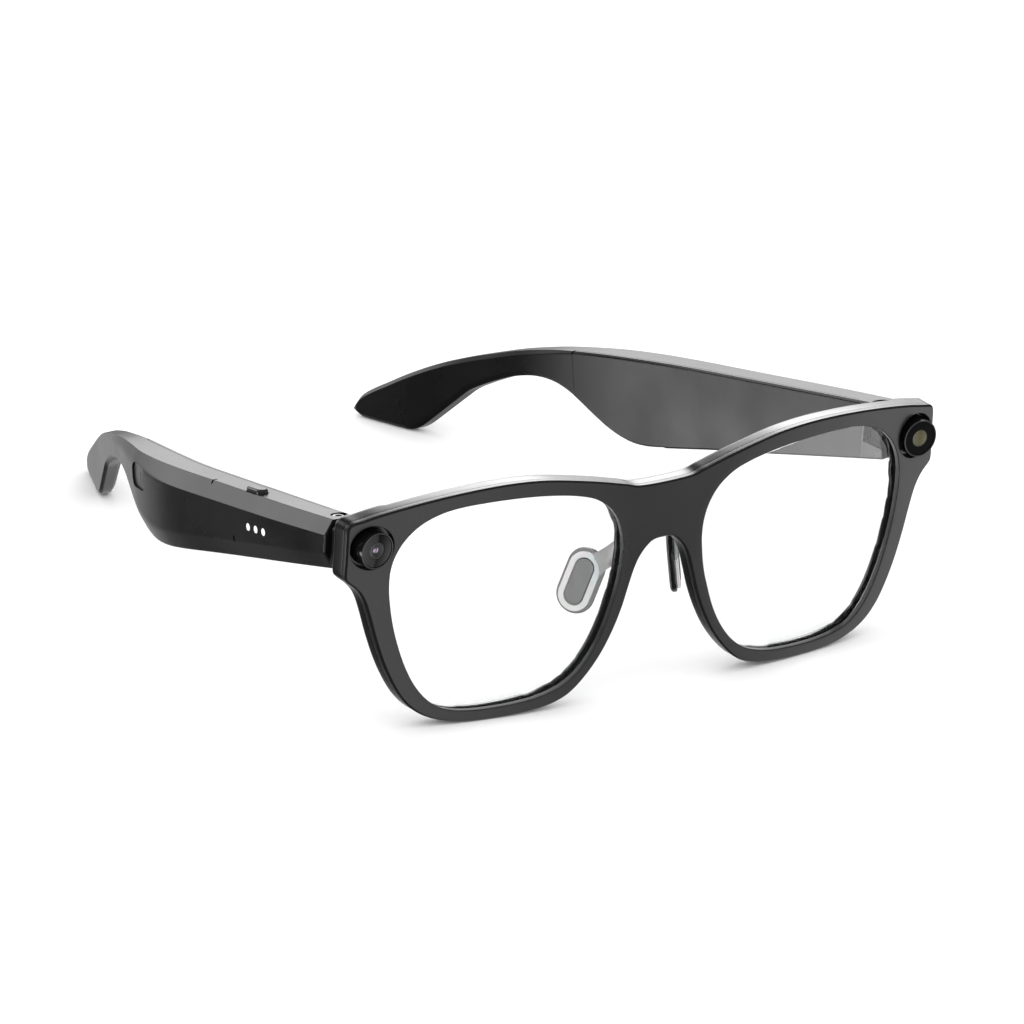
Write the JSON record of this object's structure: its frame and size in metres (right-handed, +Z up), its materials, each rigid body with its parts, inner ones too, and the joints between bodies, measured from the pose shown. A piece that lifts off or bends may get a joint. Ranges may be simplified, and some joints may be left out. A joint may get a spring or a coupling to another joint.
{
  "type": "smart glasses",
  "caption": "Full-rim smart glasses with clear lenses, a camera and an indicator light in the end pieces, folding electronic temples and a push button.",
  "frame": {"origin": "centre of the bounding box in X and Y, on the surface the glasses stand on", "axes": "+X to the wearer's left, -Y out of the front of the glasses, temples run towards +Y, +Z up; at rest the glasses stand on the rim bottoms and the temple tips"},
  "size_m": [0.1462, 0.1534, 0.0514],
  "materials": {
    "black_plastic": "fine satin texture",
    "front_satin": "satin, slightly lighter than the temples",
    "clear_lens": "clear, coated",
    "gloss_black": "polished black",
    "dark_glass": "tinted cover glass",
    "coated_glass": "purple and green coating",
    "light_diffuser": "olive diffuser",
    "circuit_board": "solder mask",
    "chip": "moulded package",
    "flex_cable": "polyimide film",
    "clear_plastic": "frosted clear moulding",
    "silicone": "translucent grey silicone",
    "steel": "turned and plated",
    "battery_foil": "foil pouch",
    "speaker_body": "pressed can",
    "pad_plastic": "smooth inset",
    "contact_metal": "plated contacts",
    "white_print": "filled inlay"
  },
  "bodies": {
    "front": {"front_frame": "front_satin", "rear_frame": "black_plastic", "lens_right": "clear_lens", "lens_left": "clear_lens", "camera_barrel": "gloss_black", "camera_window": "dark_glass", "camera_lens": "coated_glass", "camera_board": "circuit_board", "light_barrel": "gloss_black", "light_window": "light_diffuser", "light_board": "circuit_board", "brow_cable": "flex_cable", "hinge_neck_right": "gloss_black", "hinge_neck_left": "gloss_black", "nose_bracket_right": "clear_plastic", "nose_bracket_left": "clear_plastic", "nose_pad_right": "silicone", "nose_pad_left": "silicone"},
    "right_temple": {"temple_shell_right": "black_plastic", "temple_cover_right": "black_plastic", "hinge_screw_right": "steel", "battery_right": "battery_foil", "main_board": "circuit_board", "processor": "chip", "speaker_right": "speaker_body", "speaker_mesh_right": "steel", "side_microphone": "steel", "top_microphone": "steel", "button_switch": "steel", "charge_pad": "pad_plastic", "charge_contacts": "contact_metal", "mark_dots": "white_print"},
    "left_temple": {"temple_shell_left": "black_plastic", "temple_cover_left": "black_plastic", "hinge_screw_left": "steel", "battery_left": "battery_foil", "audio_board": "circuit_board", "speaker_left": "speaker_body", "speaker_mesh_left": "steel"},
    "button": {"capture_button": "black_plastic"}
  },
  "joints": [
    {"name": "right_temple_fold", "type": "hinge", "parent": "front", "child": "right_temple", "pos_m": [-0.0675, -0.05644, 0.04401], "axis": [0, 0, -1], "range_deg": [0, 66]},
    {"name": "left_temple_fold", "type": "hinge", "parent": "front", "child": "left_temple", "pos_m": [0.0675, -0.05644, 0.04401], "axis": [0, 0, 1], "range_deg": [0, 78]},
    {"name": "capture_button_press", "type": "slide", "parent": "right_temple", "child": "button", "axis": [0, -0.1934, -0.9811], "range_m": [0, 0.0005], "stiffness_N_per_m": 800}
  ]
}
